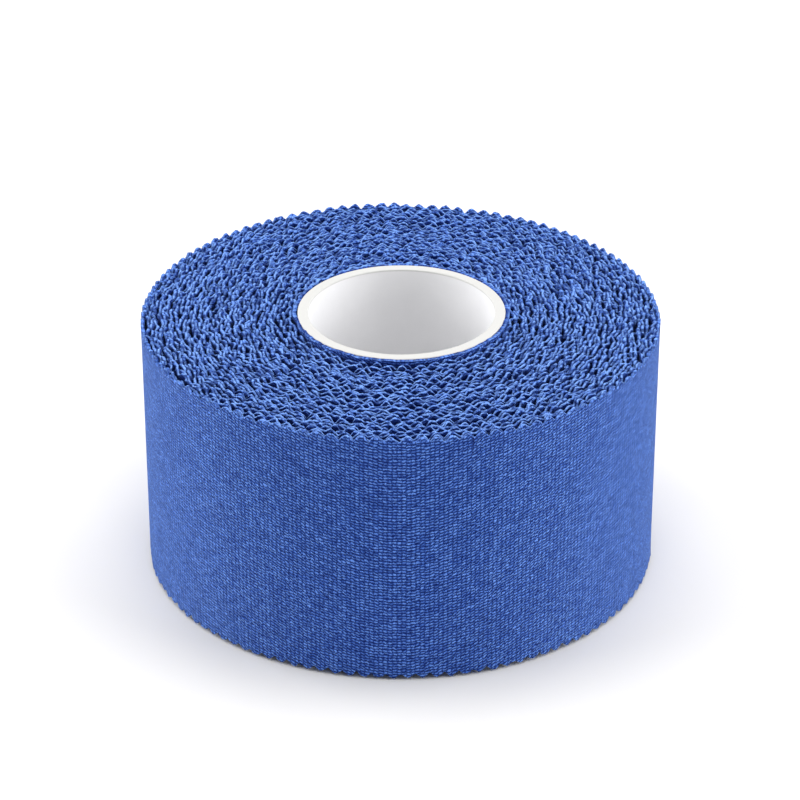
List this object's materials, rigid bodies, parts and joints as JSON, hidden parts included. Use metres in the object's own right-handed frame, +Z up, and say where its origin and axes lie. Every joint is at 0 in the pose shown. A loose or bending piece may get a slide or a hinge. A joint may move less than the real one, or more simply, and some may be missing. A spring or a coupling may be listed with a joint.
{
  "type": "athletic tape roll",
  "caption": "Roll of blue cotton athletic tape with zigzag pinked edges, wound on a white tube core, standing on its flat end.",
  "frame": {"origin": "centre of the flat end that the roll stands on, on the axis of its core", "axes": "+Z up along the roll's axis, +Y towards the cut end of the tape at the back, -Y towards the camera"},
  "size_m": [0.0731, 0.0733, 0.038],
  "materials": {
    "tape_cloth": "matt cotton cloth in royal blue, plain weave, pinked edges",
    "core_tube": "smooth white paper-faced tube, satin"
  },
  "bodies": {
    "root": {"wound_tape": "tape_cloth", "core_tube": "core_tube"}
  },
  "joints": []
}
